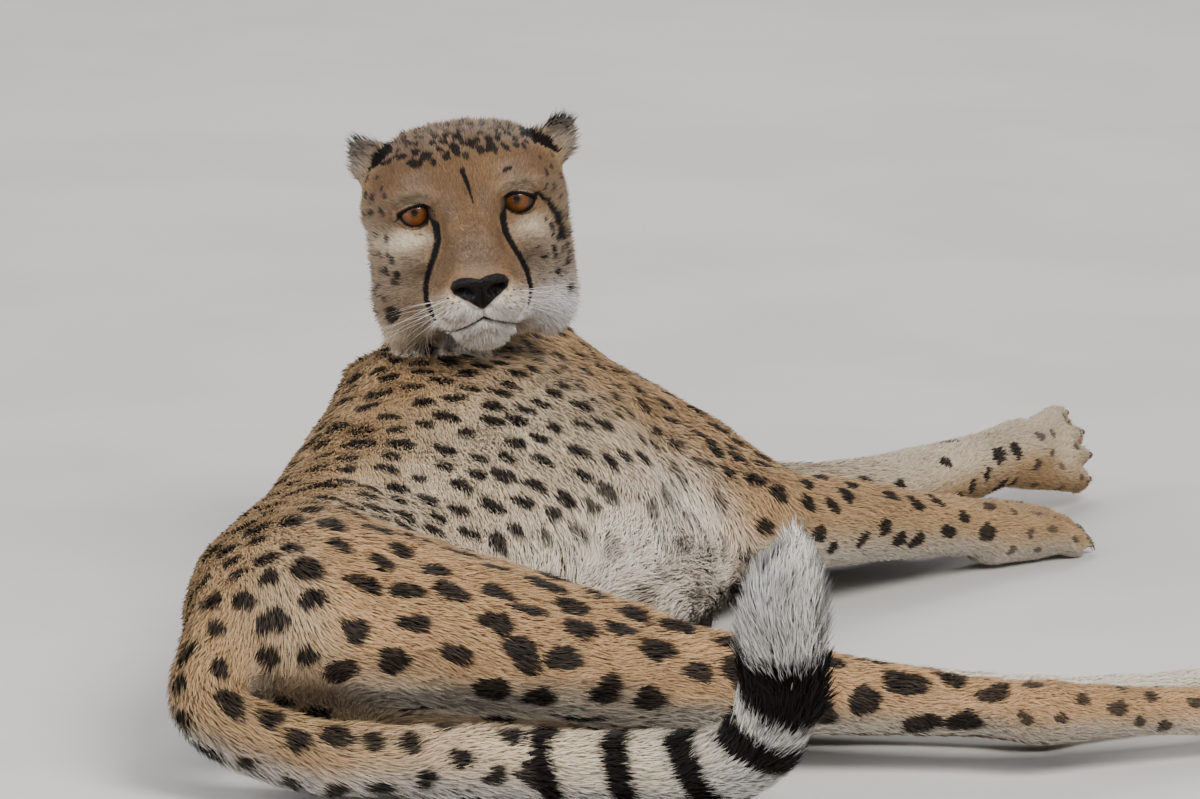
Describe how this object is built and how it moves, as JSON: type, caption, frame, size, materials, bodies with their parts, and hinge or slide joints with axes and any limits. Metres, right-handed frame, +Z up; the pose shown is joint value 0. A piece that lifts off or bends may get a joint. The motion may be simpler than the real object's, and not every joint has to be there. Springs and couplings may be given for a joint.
{
  "type": "cheetah, reclining still model",
  "caption": "Life-size cheetah lying on its left side with the head turned back over the flank, for display on a level floor.",
  "frame": {"origin": "on the floor plane, under the left hip, on the flat where the left thigh rests", "axes": "+Z up; +Y from the rump to the breast, along the trunk; +X from the back to the belly, the way the legs reach"},
  "size_m": [0.8445, 1.219, 0.3665],
  "materials": {
    "coat": "short fur, ochre with solid dark spots",
    "tail_white": "long white fur",
    "eye": "wet gloss, amber",
    "nose": "moist black leather",
    "claw": "dull horn"
  },
  "bodies": {
    "root": {"head": "coat", "neck": "coat", "nose": "nose", "ear_right": "coat", "ear_left": "coat", "eye_right": "eye", "eye_left": "eye", "trunk": "coat", "tail_base": "coat", "tail_middle": "coat", "tail_tip": "tail_white", "foreleg_right_upper": "coat", "foreleg_right_lower": "coat", "foreleg_right_paw": "coat", "foreleg_left_upper": "coat", "foreleg_left_lower": "coat", "foreleg_left_paw": "coat", "hind_leg_right_thigh": "coat", "hind_leg_right_shank": "coat", "hind_leg_right_foot": "coat", "hind_leg_left_thigh": "coat", "hind_leg_left_shank": "coat", "hind_leg_left_foot": "coat"}
  },
  "joints": []
}
